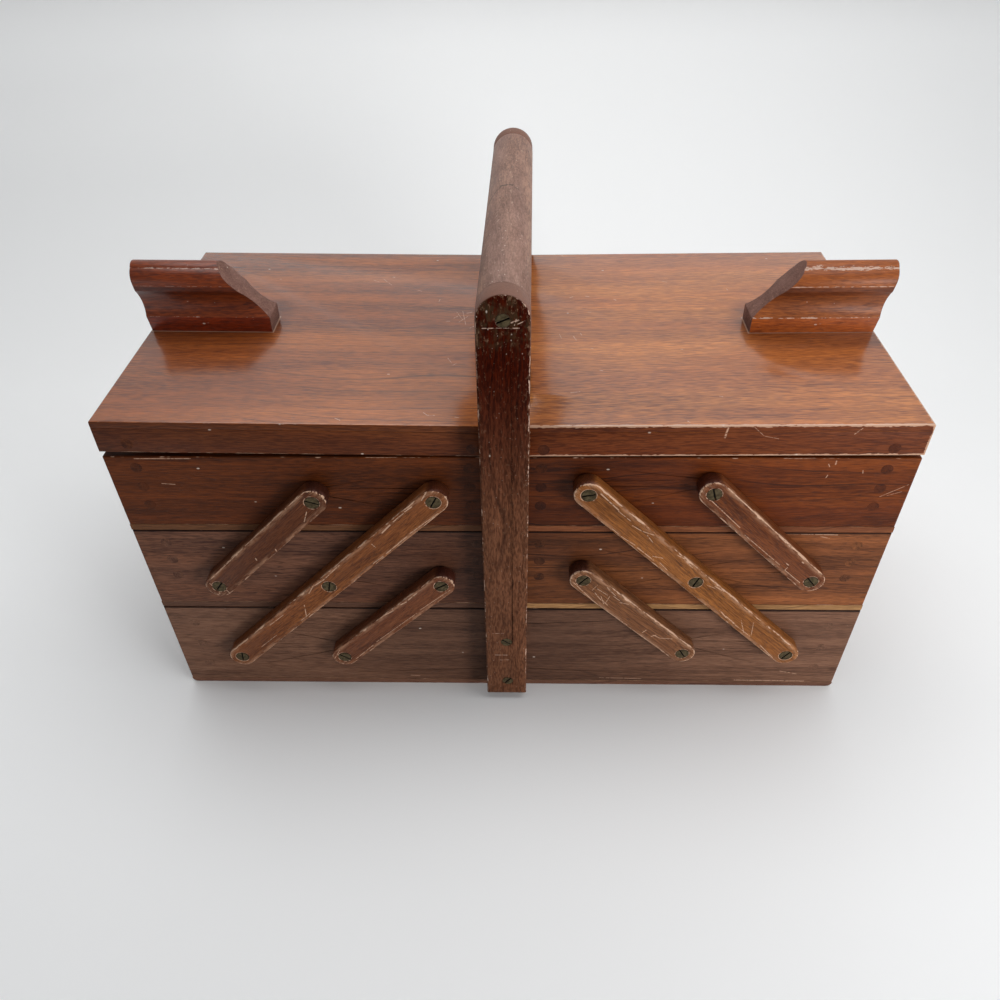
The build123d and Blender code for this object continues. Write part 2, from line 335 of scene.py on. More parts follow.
# Boards: patterns in millimetres, and bevels in metres here and below
boards = {
    # the seam values set a painted shade line under each tray above
    "bevel": 0.0004, "hidden": 10.0, "seamBelow": (1.2, 0.8), "seamTint": (0.16, 0.13, 0.12),
    # the painted shade of the fronts towards the posts
    "innerAt": (140.0, 25.0), "innerTint": (0.45, 0.42, 0.42),
    "inner": {"left_top": 0.1, "left_mid": 0.85, "base": 0.7, "right_top": 0.9, "right_mid": 0.9},
    "left_top": {
        "dark": (0.039, 0.009, 0.002), "light": (0.135, 0.030, 0.005), "glow": (0.153, 0.035, 0.006),
        "veins": 0.3,
    },
    "left_mid": {
        "dark": (0.052, 0.019, 0.012), "light": (0.204, 0.087, 0.049), "glow": (0.228, 0.091, 0.047),
        "pores": 0.65, "veins": 0.3, "shares": (0.40, 0.20, 0.40),
    },
    "base": {
        "dark": (0.082, 0.035, 0.020), "light": (0.221, 0.106, 0.062), "glow": (0.240, 0.118, 0.070),
        "pores": 0.35, "veins": 0.25,
    },
    "right_top": {
        "dark": (0.049, 0.009, 0.002), "light": (0.196, 0.041, 0.007), "glow": (0.268, 0.062, 0.009),
        "veins": 0.8, "shares": (0.50, 0.22, 0.28),
    },
    "right_mid": {
        "dark": (0.062, 0.020, 0.008), "light": (0.270, 0.086, 0.029), "glow": (0.394, 0.130, 0.040),
        "veins": 0.8, "shares": (0.50, 0.22, 0.28),
    },
    "scratches": {
        "right_top_front_board": [
            (171.2, 189.9, 171.2, 187.9, 0.5), (167.6, 187.9, 168.5, 186.3, 0.35),
            (168.9, 180.6, 168.3, 178.5, 0.35), (186.5, 183.7, 186.9, 182.0, 0.35),
            (200.3, 165.8, 213.1, 174.2, 0.22), (204.0, 166.6, 211.0, 169.4, 0.18),
        ],
        "right_mid_front_board": [
            (156.3, 138.3, 185.0, 137.6, 0.45), (176.0, 136.2, 181.0, 134.9, 0.3),
        ],
        "left_top_front_board": [
            (-198.0, 190.6, -168.0, 190.7, 0.35), (-188.0, 173.6, -181.0, 173.0, 0.3),
        ],
        "base_front_board": [
            (-66.0, 8.0, -60.0, 7.4, 0.25), (60.0, 7.0, 88.0, 6.2, 0.25), (150.0, 5.6, 196.0, 5.0, 0.5),
            (178.0, 15.5, 190.0, 12.5, 0.3),
        ],
    },
}


def innerShade(finish, x, share):
    # painted shade: the front is darker towards the posts, standing in for the shade of the post and the
    # arms
    return finish.step(abs(x), *boards["innerAt"]) * share


def makeBoards():
    for node in frame["nodes"]:
        kind = node.split("_")[-1]
        if kind not in ("board", "end"):
            continue
        box = "base" if node.startswith("base") else startOf(node, 2)
        seed = seedOf(node)
        figure = look(boards[box], shift=(seed * 37.0 % 900, seed * 11.0 % 300, seed * 7.0 % 260))
        turn = (0, 0, 0) if kind == "board" else (0, 0, -math.pi / 2)
        finish = Finish(camel(node) + "Walnut")
        middle, half = middleOf(node)
        local = finish.local(turn, middle)
        long, wide, high = [abs(size) for size in Euler(turn).to_matrix() @ half]
        if kind == "end":
            long += boards["hidden"]        # its upright edges are hidden, so they stay varnished
        bare = flaked(finish, local, edgeOfBox(finish, local, (long, wide, high)), figure)
        x, y, z = finish.split(finish.local())
        if node in boards["scratches"]:
            bare = bare.most(scratched(finish, x, z, boards["scratches"][node]))
        # painted shade, darker towards the posts
        inner = innerShade(finish, x, boards["inner"][box])
        # painted shade: a dark line on the long faces, in the gap under the tray above
        top = middle[2] * millimetres + high
        start, full = [top - drop for drop in boards["seamBelow"]]
        outward = finish.step(abs(finish.facing()[1]), 0.3, 0.6)
        seam = finish.step(z, start, full) * outward * (0.0 if box.endswith("top") else 1.0)
        tints = [(inner, boards["innerTint"], "MULTIPLY"), (seam, boards["seamTint"], "MULTIPLY")]
        paint(node, woodFinish(finish, local, figure, bare * (1 - seam), tints=tints))
        board = frame["nodes"][node]
        addModifier(board, "WELD", merge_threshold=joins["gap"])
        addModifier(board, "BEVEL", width=boards["bevel"], segments=2, use_clamp_overlap=False)
    print("boards finished")


# Lids
lids = {
    "hinge": (0.0100, 0.2140), "inner": 0.3, "outer": 205.0, "below": (2.2, 21.4), "half": 103.35,
    "lean": {"left": -0.73, "right": 0.39}, "rounding": {"lid_panel": 0.0003, "lid_rail": 0.0002},
    "both": {"bandSize": (260.0, 16.0, 16.0), "dust": 0.75},
    "left": {
        "dark": (0.090, 0.018, 0.004), "light": (0.400, 0.105, 0.018), "glow": (0.450, 0.128, 0.021),
        "vein": (0.045, 0.014, 0.006), "shift": (0.0, 40.0, 0.0), "veins": 0.6, "reach": 0.8,
        "shares": (0.44, 0.18, 0.38),
    },
    "right": {
        "dark": (0.170, 0.042, 0.010), "light": (0.580, 0.175, 0.036), "glow": (0.640, 0.215, 0.044),
        "vein": (0.120, 0.034, 0.012), "shift": (400.0, 90.0, 9.0), "veins": 0.3, "edgeShare": 0.46,
        "reach": 2.4, "bareSize": (9.0, 2.4, 2.4), "shares": (0.38, 0.14, 0.48),
    },
    # painted shade: the front and end faces of each lid are darkened, as they get less light than the top
    "frontTint": {"left": (0.38, 0.37, 0.62), "right": (0.30, 0.215, 0.25)},
    # the painted shade and reflection round the foot of each pull
    "patchTint": (0.38, 0.30, 0.28), "patchShare": 0.8, "patchBeside": (32.0, 10.0),
    "patchAhead": (14.0, -6.0),
    "varnish": 1.0, "varnishRough": 0.19, "varnishGloss": {"left": 1.74, "right": 1.82},
    "scratches": [
        (111.6, 211.0, 110.9, 205.1, 0.7), (124.5, 211.8, 130.6, 206.0, 0.22),
        (130.6, 206.0, 138.3, 204.3, 0.18), (175.9, 207.3, 179.0, 210.8, 0.35),
    ],
    "marks": {
        "left": [
            (-43.8, -91.8, -41.8, -94.0, 0.35), (-41.8, -94.0, -37.9, -94.2, 0.35),
            (-27.2, -95.5, -25.2, -96.0, 0.35), (-88.9, -97.7, -86.1, -99.4, 0.35),
            (-45.3, 31.2, -44.6, 35.3, 0.3), (-90.5, 61.5, -86.1, 58.7, 0.3),
            (-84.1, 63.2, -77.7, 54.5, 0.25), (-60.0, 47.6, -57.3, 46.2, 0.3),
            (-78.1, 66.3, -77.3, 66.3, 0.7), (-152.7, 61.7, -152.1, 61.8, 0.5),
            (-66.9, -54.8, -66.2, -54.8, 0.7), (-34.3, 10.4, -32.0, 13.0, 0.35),
            (-32.9, 18.2, -28.6, 8.0, 0.25), (-30.9, 5.4, -25.8, 13.1, 0.25),
            (-29.3, 19.5, -26.5, 1.7, 0.25), (-26.6, 17.0, -23.6, 18.3, 0.45),
            (-23.9, -1.9, -21.6, 0.6, 0.35), (-39.0, 6.5, -36.5, 6.5, 0.4),
            (-34.8, -37.0, -32.2, -42.4, 0.25), (-31.5, -44.5, -29.4, -42.4, 0.25),
        ],
        "right": [
            (38.1, 37.5, 40.0, 38.8, 0.45), (48.3, 39.4, 50.2, 38.7, 0.5),
            (65.8, 34.9, 66.9, 33.5, 0.6), (99.3, 59.8, 102.4, 58.3, 0.3),
            (29.7, -9.3, 30.7, -14.0, 0.25), (37.9, -11.8, 39.4, -16.5, 0.45),
            (42.2, -8.3, 42.9, -10.7, 0.35), (47.3, -25.8, 48.4, -26.4, 0.4),
            (33.5, -72.5, 38.4, -71.5, 0.35), (35.1, 101.6, 36.4, 100.0, 0.4),
            (98.8, -27.7, 99.9, -27.7, 0.4), (50.7, -49.9, 52.3, -50.5, 0.35),
            (48.3, 17.9, 50.1, 17.9, 0.35), (91.7, -99.4, 92.5, -100.3, 0.5),
            (112.0, -76.6, 113.5, -77.1, 0.35), (138.9, 48.9, 139.7, 46.1, 0.3),
        ],
    },
    "glue": (0.46, 0.30, 0.22), "glueShare": 0.7, "glueLine": (0.9, 0.5),
    "endShift": (31.0, 70.0, 12.0),
}


def lidFinish(node, side):
    # one figure runs through a lid's panel and rails, in coordinates that lie along the lid
    finish = Finish(camel(node) + "Walnut")
    figure = look(lids["both"], lids[side])
    sign = -1 if side == "left" else 1
    turn = (0, math.radians(lids["lean"][side]), 0)
    upper, lower = lids["below"]
    half = ((lids["outer"] - lids["inner"]) / 2, lids["half"], (lower - upper) / 2)
    away = Vector((sign * (lids["inner"] + half[0]), 0, -upper - half[2])) / millimetres
    hinge = Vector((sign * lids["hinge"][0], 0, lids["hinge"][1]))
    middle = hinge + Euler(turn).to_matrix().transposed() @ away
    local = finish.local(turn, middle)
    bare = flaked(finish, local, edgeOfBox(finish, local, half), figure)
    upward = finish.step(finish.facing()[2], 0.55, 0.9)
    x, y, z = finish.split(finish.local())
    bare = bare.most(scratched(finish, x, y, lids["marks"][side]) * upward)
    if side == "right":
        marks = scratched(finish, x, z, lids["scratches"])
        bare = bare.most(marks * finish.maths("LESS_THAN", y, -lids["half"] + 0.3))
    # a pale line of old glue shows round the foot of the pull
    beside = abs(y - pulls[side]["place"]) - pulls["halfWidth"]
    glue = finish.step(beside.most(pulls["foot"] - abs(x)), *lids["glueLine"]) * upward * lids["glueShare"]
    # painted shade and painted reflection: the lid is darker close to the pull, standing in for the pull's
    # shadow and its dark reflection in the varnish
    patch = finish.step(beside, *lids["patchBeside"])
    patch = patch * finish.step(pulls["foot"] - abs(x), *lids["patchAhead"]) * upward * lids["patchShare"]
    varnish = {"Coat Weight": upward * lids["varnish"], "Coat Roughness": lids["varnishRough"],
               "Coat IOR": lids["varnishGloss"][side]}
    # painted shade on the faces that do not face up
    tints = [(1 - upward, lids["frontTint"][side], "MULTIPLY"), (patch, lids["patchTint"], "MULTIPLY"),
             (glue, lids["glue"], "MIX")]
    return woodFinish(finish, local, figure, bare, varnish, tints)


def makeLids():
    for side in ("left", "right"):
        for node, slot in ((side + "_lid_panel", "lid_panel"), (side + "_lid_long_rails", "lid_rail")):
            seat(mergedCopy(node, lids["rounding"][slot]), node, slot, lidFinish(node, side))
        for node in (side + "_lid_end_rails", side + "_hinge_rail"):
            along, across, up = lids["endShift"]
            figure = look(boards[side + "_top"], shift=(len(node) * along, across, up))
            finish = Finish(camel(node) + "Walnut")
            middle, half = middleOf(node)
            local = finish.local((0, 0, -math.pi / 2), middle)
            bare = flaked(finish, local, edgeOfBox(finish, local, (half[1], half[0], half[2])), figure)
            paint(node, woodFinish(finish, local, figure, bare))
    print("lids finished")


# Arms
arms = {
    "rounding": 0.0004, "radius": 8.0, "pitch": 65.5 * math.sqrt(2), "headRadius": 4.0,
    "all": {
        "bandSize": (120.0, 5.0, 5.0), "lineSize": (30.0, 0.7, 0.7), "fleckSize": (7.0, 0.5, 0.5),
        "veins": 0.2, "veinGap": 4.0, "bareSize": (13.0, 2.8, 2.8), "reach": 2.2, "bareFrom": 0.735,
        "bare": (0.68, 0.44, 0.30), "bareShare": 0.75, "specular": 0.15, "dust": 0.2, "depth": 0.0001,
        "pores": 0.6, "poreSize": (4.0, 0.4, 0.4), "shares": (0.25, 0.35, 0.40),
    },
    "left_long": {
        "dark": (0.093, 0.025, 0.007), "light": (0.232, 0.072, 0.019), "glow": (0.269, 0.089, 0.024),
        "edgeShare": 0.29,
    },
    "left_lower": {
        "dark": (0.079, 0.022, 0.009), "light": (0.187, 0.061, 0.024), "glow": (0.216, 0.072, 0.027),
        "edgeShare": 0.27,
    },
    "left_upper": {
        "dark": (0.056, 0.014, 0.005), "light": (0.141, 0.043, 0.014), "glow": (0.161, 0.049, 0.015),
        "edgeShare": 0.27,
    },
    "right_long": {
        "dark": (0.112, 0.033, 0.006), "light": (0.305, 0.102, 0.023), "glow": (0.345, 0.122, 0.027),
        "edgeShare": 0.30,
    },
    "right_lower": {
        "dark": (0.082, 0.027, 0.010), "light": (0.222, 0.086, 0.035), "glow": (0.250, 0.099, 0.038),
        "edgeShare": 0.32,
    },
    "right_upper": {
        "dark": (0.069, 0.016, 0.004), "light": (0.180, 0.049, 0.012), "glow": (0.208, 0.057, 0.014),
        "edgeShare": 0.31,
    },
    "thin": 0.35, "thinReach": (3.6, 0.6), "thinSize": (9.0, 3.0, 3.0), "thinTint": (0.62, 0.36, 0.22),
    "endFrom": (1.0, 5.0), "endTint": (0.42, 0.34, 0.46),
    "ringOut": (0.75, 0.35), "ringIn": (0.1, 0.3), "chipSize": (2.0, 2.0, 2.0),
    # painted shade in the gap round each screw head
    "gapOut": (0.25, 0.05), "gapTint": (0.10, 0.08, 0.07),
    "marks": {
        "right_long": [
            (-89.1, 5.4, -73.9, 4.6, 0.5), (-73.2, 4.0, -63.0, 4.1, 0.35),
            (-60.1, 2.6, -53.0, 3.8, 0.4), (-53.0, 3.8, -46.2, 6.6, 0.35),
            (-48.9, 3.9, -42.3, 2.5, 0.3), (-25.1, 6.1, -19.8, 7.3, 0.4), (-19.0, 6.7, -11.3, 6.1, 0.3),
            (-65.9, -6.7, -59.4, -6.8, 0.35), (-58.2, -6.9, -47.8, -5.8, 0.3),
            (-45.3, -6.0, -31.3, -5.8, 0.4), (-34.0, -4.2, -28.9, -1.1, 0.35),
            (-27.3, -4.5, -19.6, -5.3, 0.25), (6.4, 3.5, 12.5, 5.2, 0.3), (10.2, 6.0, 17.3, 7.1, 0.35),
            (29.1, -4.1, 37.2, -5.4, 0.4), (36.3, -4.8, 45.5, -5.0, 0.4), (43.5, -5.4, 61.6, -5.2, 0.3),
            (45.3, -0.3, 56.0, -5.9, 0.25), (52.5, 3.7, 61.1, -4.0, 0.25),
            (72.8, -5.6, 88.6, -7.0, 0.35),
        ],
        "right_lower": [
            (-36.8, -1.5, -37.9, 3.4, 0.3), (-34.2, -1.9, -26.7, -3.5, 0.3),
            (-35.5, 1.3, -27.4, 2.0, 0.3), (-26.2, -3.0, -20.8, -3.7, 0.3),
            (-22.7, -4.1, -25.6, 2.3, 0.25), (-32.3, 6.1, -23.0, 4.9, 0.3),
            (-24.0, 3.9, -16.3, 4.0, 0.3), (-17.3, 3.0, -11.8, 6.1, 0.3),
            (-29.2, -1.4, -23.2, -4.6, 0.25), (13.1, -4.8, 12.9, -1.7, 0.4),
            (19.6, -3.2, 20.8, -0.3, 0.35), (19.8, -1.4, 24.7, -0.4, 0.3), (24.7, -0.4, 30.6, 4.6, 0.3),
            (-49.1, -5.0, -30.3, -7.2, 0.3), (-25.0, -7.6, 1.3, -6.9, 0.25),
            (4.2, -7.3, 37.9, -6.9, 0.25),
        ],
        "right_upper": [
            (-44.7, 7.6, -18.4, 7.6, 0.35), (-18.4, 7.6, 3.3, 7.6, 0.3), (3.3, 7.4, 9.7, 7.2, 0.5),
            (12.3, 7.1, 16.7, 7.5, 0.5), (21.5, 7.4, 28.1, 7.2, 0.45), (23.2, -1.6, 25.6, -1.5, 0.4),
            (28.9, 5.3, 30.1, 5.4, 0.5), (27.5, -5.2, 26.8, -3.1, 0.3), (-43.3, -3.6, -17.5, -4.2, 0.3),
            (-11.0, -5.5, 22.1, -4.9, 0.25), (27.5, -5.2, 42.3, -4.8, 0.3),
        ],
        "left_long": [
            (89.6, 5.5, 95.9, 7.5, 0.5), (76.9, 6.5, 82.2, 6.2, 0.5), (66.8, 6.3, 75.4, 6.3, 0.4),
            (55.4, 5.3, 63.6, 6.0, 0.6), (45.1, 4.1, 44.7, 0.9, 0.3), (38.8, 7.4, 41.3, 7.5, 0.4),
            (2.1, 5.8, 18.7, 6.7, 0.35), (-7.0, 6.9, 2.1, 5.8, 0.4), (-13.3, 5.0, -5.3, 7.2, 0.3),
            (-23.7, 0.9, -31.4, -6.3, 0.4), (-36.1, -5.9, -27.4, -5.9, 0.3),
            (-54.0, 5.1, -40.4, 4.7, 0.3), (88.8, -7.0, 66.6, -5.8, 0.3),
            (63.4, -6.1, 45.4, -6.5, 0.35), (42.4, -6.5, 33.7, -6.2, 0.3),
            (-75.4, -3.0, -59.0, -3.2, 0.25),
        ],
        "left_lower": [
            (31.6, 6.4, 23.6, 6.1, 0.35), (21.8, 5.8, 16.7, 6.7, 0.5), (9.9, 6.3, 3.2, 7.4, 0.5),
            (3.2, 7.4, -4.7, 7.6, 0.3), (47.8, -5.6, 21.9, -4.6, 0.25), (18.1, -5.1, -20.0, -4.8, 0.25),
            (-24.1, -5.4, -42.2, -6.2, 0.3), (-43.2, 6.4, -52.2, 3.6, 0.3),
        ],
        "left_upper": [
            (39.2, -1.8, 32.3, -5.2, 0.35), (3.3, -6.1, 2.6, -7.2, 0.5),
            (-10.9, -2.1, -11.6, -3.3, 0.5), (51.8, 7.2, 32.2, 7.6, 0.3), (28.9, 7.6, -6.9, 7.6, 0.25),
            (-9.8, 7.5, -43.4, 6.9, 0.3), (-45.7, -4.7, -46.5, -7.2, 0.35),
            (-47.8, 5.4, -51.1, -3.5, 0.3),
        ],
    },
}


def armFinish(node, kind):
    finish = Finish(camel(node) + "Walnut")
    middle, half = middleOf(node)
    turn = (0, math.pi / 4 if node.startswith("left") else -math.pi / 4, 0)
    local = finish.local(turn, middle)
    front = node.endswith("front")
    outer = -half[1] if front else half[1]
    seed = seedOf(node)
    figure = look(arms["all"], arms[kind], shift=(seed * 17.0 % 500, 5.0, seed * 3.0 % 90))
    x, y, z = finish.split(local)
    spans = 2 if "long" in node else 1      # a long arm has a third screw in its middle
    beyond = abs(x) - arms["pitch"] * spans / 2
    rim = arms["radius"] - finish.length(beyond.most(0.0), z)
    edge = rim.most(abs(y - outer))
    bare = flaked(finish, local, edge, figure)
    flat = finish.step(abs(finish.facing()[1]), 0.4, 0.8)
    outside = finish.maths("LESS_THAN", abs(y - outer), 0.5)
    # the pale ring round each screw, and painted shade in the gap round its head
    toScrew = abs(beyond) if spans == 1 else abs(beyond).least(abs(x))
    ring = finish.length(toScrew, z) - arms["headRadius"]
    chipped = finish.patches(local, arms["chipSize"], 2.0, between=(0.38, 0.58))
    pale = finish.step(ring, *arms["ringOut"]) * finish.step(ring, *arms["ringIn"]) * chipped * outside
    bare = bare.most(pale)
    if front:
        bare = bare.most(scratched(finish, x, z, arms["marks"][kind]) * outside)
    # thin varnish along the edges, and end grain round the ends
    thin = finish.step(edge, *arms["thinReach"]) * finish.patches(local, arms["thinSize"], 3.0, 0.7)
    ends = finish.step(beyond, *arms["endFrom"]) * (1 - flat)
    # painted shade in the screw gap
    gap = finish.step(ring, *arms["gapOut"]) * outside
    tints = [(thin * arms["thin"], arms["thinTint"], "MIX"), (ends, arms["endTint"], "MULTIPLY"),
             (gap, arms["gapTint"], "MULTIPLY")]
    return woodFinish(finish, local, figure, bare, tints=tints)


def makeArms():
    for node in [n for n in frame["nodes"] if "_arm_" in n]:
        seat(mergedCopy(node, arms["rounding"]), node, "arm_walnut", armFinish(node, startOf(node, 2)))
    print("arms finished")


# Handle
handle = {
    "post": {
        "dark": (0.060, 0.021, 0.010), "light": (0.172, 0.070, 0.036), "glow": (0.198, 0.078, 0.039),
        "shares": (0.22, 0.30, 0.48), "lineSize": (18.0, 1.2, 1.2), "fleckSize": (4.0, 0.9, 0.9),
        "bandSize": (50.0, 9.0, 9.0), "bareSize": (8.0, 2.6, 2.6), "reach": 1.6, "bareFrom": 0.76,
        "bare": (0.62, 0.42, 0.32), "specular": 0.03, "dust": 0.8,
    },
    # the first tint here darkens the upper post: painted shade
    "topTint": (0.31, 0.070, 0.006), "topAt": (130.0, 262.0), "headAt": (255.0, 272.0),
    "scuff": (0.200, 0.110, 0.066), "scuffSize": (3.4, 1.6, 1.6), "scuffFrom": (0.58, 0.70),
    "scuffRim": (5.0, 0.0), "rim": (0.250, 0.142, 0.112), "rimShare": 0.7,
    "stain": (0.050, 0.034, 0.016), "stainSize": (7.0, 4.0, 4.0), "stainShare": 0.6,
    "scratches": [
        (-10.8, 274.4, -4.5, 274.5, 0.32), (-4.5, 274.5, 2.0, 274.5, 0.16),
        (2.0, 274.4, 5.7, 274.5, 0.4), (2.2, 277.2, 5.4, 278.4, 0.5), (3.6, 275.8, 4.4, 278.9, 0.25),
        (5.0, 276.4, 8.2, 278.0, 0.3), (-9.0, 45.5, -1.0, 45.5, 0.25), (-6.0, 40.6, 0.0, 40.8, 0.22),
        (-10.0, 66.0, -3.0, 66.4, 0.2),
    ],
    "bar": {
        "dark": (0.150, 0.076, 0.054), "light": (0.350, 0.205, 0.158), "glow": (0.400, 0.225, 0.155),
        "bandSize": (34.0, 9.0, 9.0), "lineSize": (8.0, 1.2, 1.2), "fleckSize": (2.2, 0.8, 0.8),
        "veins": 0.1, "shares": (0.40, 0.34, 0.26), "pores": 0.25, "veinGap": 5.0,
        "bareSize": (6.0, 2.2, 2.2), "bareFrom": 0.60, "bareSoft": 0.12, "bare": (0.50, 0.36, 0.28),
        "bareShare": 0.6, "rough": 0.5, "specular": 0.3, "dust": 0.9,
    },
    "freckle": (0.62, 0.50, 0.42), "postFreckles": ((3.0, 2.2, 2.2), 0.16, 0.4),
    "barFreckles": ((4.0, 3.0, 3.0), 0.13, 0.55), "dent": (0.050, 0.034, 0.028), "barBottom": 280.0,
    "dents": [
        (-4.2, 14.4, -1.8, 14.0, 1.8), (-0.4, 14.0, 1.4, 14.2, 1.5), (-11.4, 2.2, -6.8, 11.2, 0.6),
        (-6.8, 11.2, -3.0, 14.2, 0.6), (0.4, 14.1, 5.3, 9.5, 0.55),
    ],
    "rounding": 0.0004,
}


def postFinish(node):
    finish = Finish(camel(node) + "Walnut")
    middle, half = middleOf(node)
    local = finish.local((0, math.pi / 2, 0), middle)
    front = node.startswith("front")
    figure = look(handle["post"], shift=(0.0 if front else 300.0, 0.0, 0.0))
    x, y, z = finish.split(local)
    curve = finish.length((x - (half[2] - half[0])).most(0.0), z)
    outer = -half[1] if front else half[1]
    edge = (half[0] - curve).least(half[2] + x).most(abs(y - outer))
    bare = flaked(finish, local, edge, figure)
    across, away, up = finish.split(finish.local())
    flat = finish.step(abs(finish.facing()[1]), 0.4, 0.8)
    if front:
        bare = bare.most(scratched(finish, across, up, handle["scratches"]) * flat)
    # painted shade: darker and redder towards the top, where less light reaches the post; and stained and
    # scuffed round the head
    top = finish.step(up, *handle["topAt"])
    stained = finish.patches(local, handle["stainSize"], 3.0, 0.65, (0.46, 0.66))
    head = finish.step(up, *handle["headAt"])
    rubbed = finish.noise(local, handle["scuffSize"], 3.0, 0.7)
    rubbed = rubbed + finish.step(edge, *handle["scuffRim"]) * 0.08
    scuff = finish.step(rubbed, *handle["scuffFrom"]) * (head * 0.45 + 0.3) * flat
    tints = [(top * flat, handle["topTint"], "MULTIPLY"),
             (stained * head * flat * handle["stainShare"], handle["stain"], "MIX"),
             ((1 - flat) * head * handle["rimShare"], handle["rim"], "MIX"),
             (scuff, handle["scuff"], "MIX")]
    freckles = specks(finish, local, *handle["postFreckles"]) * (head * 0.5 + 0.2)
    tints.append((freckles, handle["freckle"], "MIX"))
    return woodFinish(finish, local, figure, bare, tints=tints)


def barFinish(node):
    finish = Finish(camel(node) + "Walnut")
    local = finish.local((0, 0, -math.pi / 2), middleOf(node)[0])
    figure = look(handle["bar"])
    worn = (figure["bareFrom"], figure["bareFrom"] + figure["bareSoft"])
    bare = finish.patches(local, figure["bareSize"], 3.0, 0.7, worn)
    freckles = specks(finish, local, *handle["barFreckles"])
    x, y, z = finish.split(finish.local())
    above = finish.maths("GREATER_THAN", z, handle["barBottom"])
    tints = [(freckles * 0.8, handle["freckle"], "MIX"),
             (scratched(finish, x, y, handle["dents"]) * above * 0.8, handle["dent"], "MIX")]
    return woodFinish(finish, local, figure, bare, tints=tints)


def makeHandle():
    for node in ("front_post", "rear_post"):
        seat(mergedCopy(node, handle["rounding"]), node, "post_walnut", postFinish(node))
    seat(mergedCopy("handle_bar", handle["rounding"]), "handle_bar", "bar_walnut", barFinish("handle_bar"))
    print("handle finished")


# Pulls
pulls = {
    "left": {
        "dark": (0.070, 0.010, 0.003), "light": (0.250, 0.044, 0.007), "glow": (0.290, 0.054, 0.008),
        "edgeShare": 0.20, "reach": 1.2, "bareShare": 0.45, "rough": 0.3, "place": 0.5, "lift": 0.0127,
    },
    "right": {
        "dark": (0.170, 0.040, 0.009), "light": (0.400, 0.108, 0.020), "glow": (0.440, 0.126, 0.024),
        "edgeShare": 0.22, "reach": 3.0, "bareShare": 0.6, "place": 0.0, "lift": 0.0068,
    },
    "all": {
        "bandSize": (60.0, 6.0, 6.0), "lineSize": (22.0, 1.0, 1.0), "fleckSize": (5.0, 0.7, 0.7),
        "veins": 0.15, "pores": 0.35, "bareSize": (7.0, 2.0, 2.0), "bareFrom": 0.66,
        "bare": (0.72, 0.55, 0.45), "specular": 0.25,
    },
    "sawn": {
        "dark": (0.120, 0.056, 0.042), "light": (0.230, 0.120, 0.094), "glow": (0.250, 0.130, 0.100),
        "bandSize": (9.0, 9.0, 9.0), "lineSize": (2.5, 2.5, 2.5), "fleckSize": (0.8, 0.8, 0.8),
        "veins": 0.1, "specular": 0.15, "rough": 0.6,
    },
    "arris": (4.2, 37.3), "toe": (9.4, 9.4), "lidTop": 211.8, "halfWidth": 9.4, "foot": 141.4,
    # the crease tint is painted shade under the bead
    "bead": 28.7, "cove": 12.0, "crease": 22.6, "creaseShare": 0.8, "creaseTint": (0.34, 0.26, 0.26),
    "footTint": {"left": (0.95, 0.60, 0.40), "right": (1.25, 1.05, 0.85)},
    "varnish": {"left": 0.35, "right": 0.1}, "varnishRough": 0.30, "rounding": 0.0003,
    "sharp": 28, "smooth": 26, "sawnFrom": 0.25,
}


def pullFinish(node, side):
    finish = Finish(camel(node) + "Walnut")
    local = finish.local(middle=middleOf(node)[0])
    figure = look(pulls["all"], pulls[side])
    x, y, z = finish.split(finish.local())
    ahead = figure["place"] - y
    height = z - pulls["lidTop"] - abs(x) * figure["lift"]
    # worn to pale wood along the arris, the lower edge of the bead and the top of the foot; the thin pale
    # lines there are also painted highlights
    crest, toe = [finish.length(ahead - pulls[corner][0], height - pulls[corner][1])
                  for corner in ("arris", "toe")]
    bead = abs(height - pulls["bead"]) * 5.0 + finish.step(ahead, 0.0, -2.0) * 9.0
    bare = flaked(finish, local, crest.least(toe * 3.0).least(bead), figure)
    # painted shade: dark under the bead and in the top of the cove
    under = finish.step(height, pulls["bead"] - 0.2, pulls["bead"] - 0.8)
    under = under * finish.step(height, pulls["cove"], pulls["crease"])
    shade = under * (1 - finish.step(height, pulls["crease"] + 0.3, pulls["crease"] - 0.3) * 0.4)
    low = finish.step(height, pulls["toe"][1], pulls["toe"][1] - 0.6)
    tints = [(low, pulls["footTint"][side], "MULTIPLY"),
             (shade * pulls["creaseShare"], pulls["creaseTint"], "MULTIPLY")]
    varnish = {"Coat Weight": pulls["varnish"][side], "Coat Roughness": pulls["varnishRough"]}
    return woodFinish(finish, local, figure, bare, varnish, tints)


def sawnFinish(node):
    finish = Finish(camel(node) + "Sawn")
    local = finish.local(middle=middleOf(node)[0])
    bare = finish.patches(local, (3.0, 3.0, 3.0), 3.0, 0.7, (0.60, 0.72))
    return woodFinish(finish, local, look(pulls["sawn"]), bare * 0.5)


def makePulls():
    for side in ("left", "right"):
        node = side + "_lid_pull"
        piece = mergedCopy(node, pulls["rounding"], angle=pulls["sharp"], smooth=pulls["smooth"])
        seat(piece, node, "pull_walnut", pullFinish(node, side), sawnFinish(node))
        for face in piece.data.polygons:
            face.material_index = int(abs(face.normal.x) > pulls["sawnFrom"])       # sawn at both ends
    print("pulls finished")


